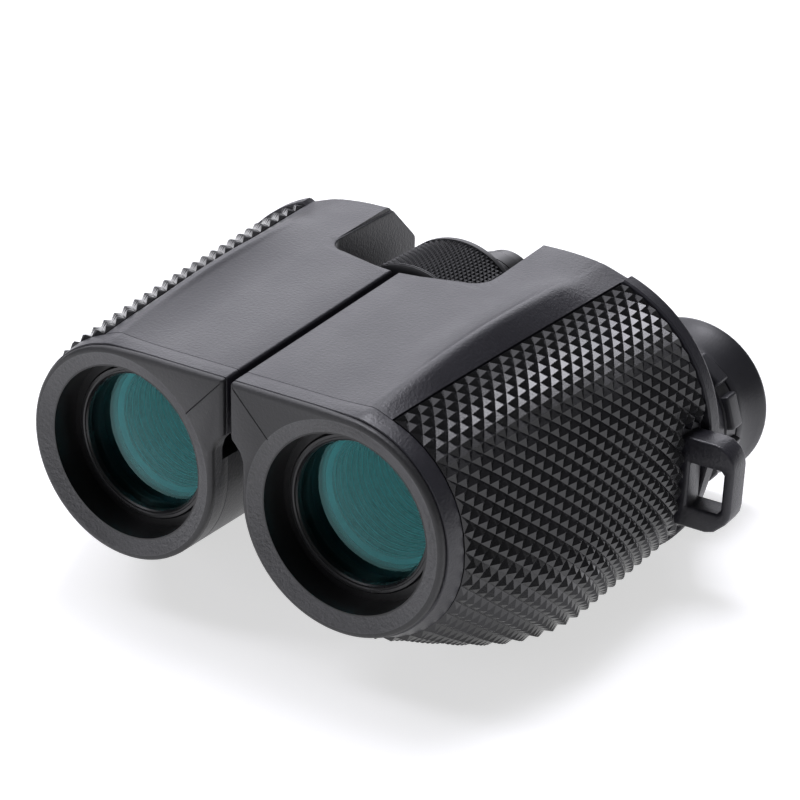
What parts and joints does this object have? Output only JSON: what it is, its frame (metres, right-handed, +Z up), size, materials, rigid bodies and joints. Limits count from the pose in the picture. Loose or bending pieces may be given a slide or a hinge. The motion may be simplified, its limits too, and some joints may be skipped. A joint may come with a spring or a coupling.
{
  "type": "compact binoculars",
  "caption": "Compact folding binoculars with stepped prism housings, textured rubber grips, twist-up eyecups and a knurled centre focus wheel.",
  "frame": {"origin": "centre of the base of the bounding box, under the middle of the hinge", "axes": "+X to the user's left half, across both halves; +Y from the objectives to the eyepieces, along the optical axes and the hinge pin; +Z up"},
  "size_m": [0.123, 0.1046, 0.0556],
  "materials": {
    "housing_plastic": "fine textured, slightly purple dark grey",
    "grip_rubber": "satin black",
    "eyecup_plastic": "soft-touch dark grey",
    "coated_glass": "multi-coated, teal reflection",
    "optical_glass": "clear",
    "steel": "turned",
    "black_alloy": "black anodised"
  },
  "bodies": {
    "right_half": {"housing_right": "housing_plastic", "front_cover_right": "housing_plastic", "rear_cover_right": "housing_plastic", "rubber_grip_right": "grip_rubber", "strap_lug_right": "housing_plastic", "retaining_ring_right": "black_alloy", "crown_lens_right": "coated_glass", "flint_lens_right": "optical_glass", "objective_cell_right": "black_alloy", "baffle_tube_right": "black_alloy", "front_prism_right": "optical_glass", "rear_prism_right": "optical_glass", "prism_shelf_right": "black_alloy", "prism_clips_right": "steel", "guide_tube_right": "black_alloy", "cover_screws_right": "steel", "hinge_knuckles_right": "black_alloy", "hinge_pin": "steel", "hinge_washers": "steel"},
    "left_half": {"housing_left": "housing_plastic", "front_cover_left": "housing_plastic", "rear_cover_left": "housing_plastic", "rubber_grip_left": "grip_rubber", "strap_lug_left": "housing_plastic", "retaining_ring_left": "black_alloy", "crown_lens_left": "coated_glass", "flint_lens_left": "optical_glass", "objective_cell_left": "black_alloy", "baffle_tube_left": "black_alloy", "front_prism_left": "optical_glass", "rear_prism_left": "optical_glass", "prism_shelf_left": "black_alloy", "prism_clips_left": "steel", "guide_tube_left": "black_alloy", "cover_screws_left": "steel", "hinge_knuckle_left": "black_alloy"},
    "focus_wheel": {"wheel_tyre": "grip_rubber", "wheel_core": "black_alloy", "focus_spindle": "steel"},
    "right_ocular": {"ocular_barrel_right": "black_alloy", "bridge_right": "housing_plastic", "bridge_cap": "housing_plastic"},
    "left_ocular": {"ocular_barrel_left": "black_alloy", "bridge_left": "housing_plastic", "barrel_collar": "housing_plastic", "lens_cell_left": "black_alloy", "field_lens_left": "optical_glass", "eye_lens_left": "coated_glass", "lens_retainer_left": "black_alloy"},
    "dioptre_grip": {"dioptre_ring": "housing_plastic"},
    "dioptre_cell": {"lens_cell_right": "black_alloy", "field_lens_right": "optical_glass", "eye_lens_right": "coated_glass", "lens_retainer_right": "black_alloy"},
    "right_cup_ring": {"eyecup_ring_right": "eyecup_plastic"},
    "right_cup": {"eyecup_right": "eyecup_plastic"},
    "left_cup_ring": {"eyecup_ring_left": "eyecup_plastic"},
    "left_cup": {"eyecup_left": "eyecup_plastic"}
  },
  "joints": [
    {"name": "fold", "type": "hinge", "parent": "right_half", "child": "left_half", "pos_m": [0, 0, 0.03915], "axis": [0, 1, 0], "range_deg": [0, 28]},
    {"name": "focus_turn", "type": "hinge", "parent": "right_half", "child": "focus_wheel", "pos_m": [0, 0, 0.03915], "axis": [0, 1, 0], "range_deg": [-40, 300]},
    {"name": "focus_right", "type": "slide", "parent": "right_half", "child": "right_ocular", "axis": [0, 1, 0], "range_m": [-0.0006, 0.0044]},
    {"name": "focus_left", "type": "slide", "parent": "left_half", "child": "left_ocular", "axis": [0, 1, 0], "range_m": [-0.0006, 0.0044]},
    {"name": "dioptre_turn", "type": "hinge", "parent": "right_ocular", "child": "dioptre_grip", "pos_m": [-0.03405, 0, 0.01875], "axis": [0, 1, 0], "range_deg": [-60, 60]},
    {"name": "dioptre_slide", "type": "slide", "parent": "right_ocular", "child": "dioptre_cell", "axis": [0, 1, 0], "range_m": [-0.0004, 0.0004]},
    {"name": "right_cup_turn", "type": "hinge", "parent": "right_ocular", "child": "right_cup_ring", "pos_m": [-0.03405, 0, 0.01875], "axis": [0, 1, 0], "range_deg": [0, 90]},
    {"name": "right_cup_rise", "type": "slide", "parent": "right_cup_ring", "child": "right_cup", "axis": [0, 1, 0], "range_m": [0, 0.005]},
    {"name": "left_cup_turn", "type": "hinge", "parent": "left_ocular", "child": "left_cup_ring", "pos_m": [0.03405, 0, 0.01875], "axis": [0, 1, 0], "range_deg": [0, 90]},
    {"name": "left_cup_rise", "type": "slide", "parent": "left_cup_ring", "child": "left_cup", "axis": [0, 1, 0], "range_m": [0, 0.005]}
  ],
  "couplings": [
    {"joint": "focus_right", "follows": "focus_turn", "m_per_rad": 0.00084},
    {"joint": "focus_left", "follows": "focus_turn", "m_per_rad": 0.00084},
    {"joint": "dioptre_turn", "follows": "dioptre_slide", "rad_per_m": 2600},
    {"joint": "right_cup_rise", "follows": "right_cup_turn", "m_per_rad": 0.00318},
    {"joint": "left_cup_rise", "follows": "left_cup_turn", "m_per_rad": 0.00318}
  ]
}
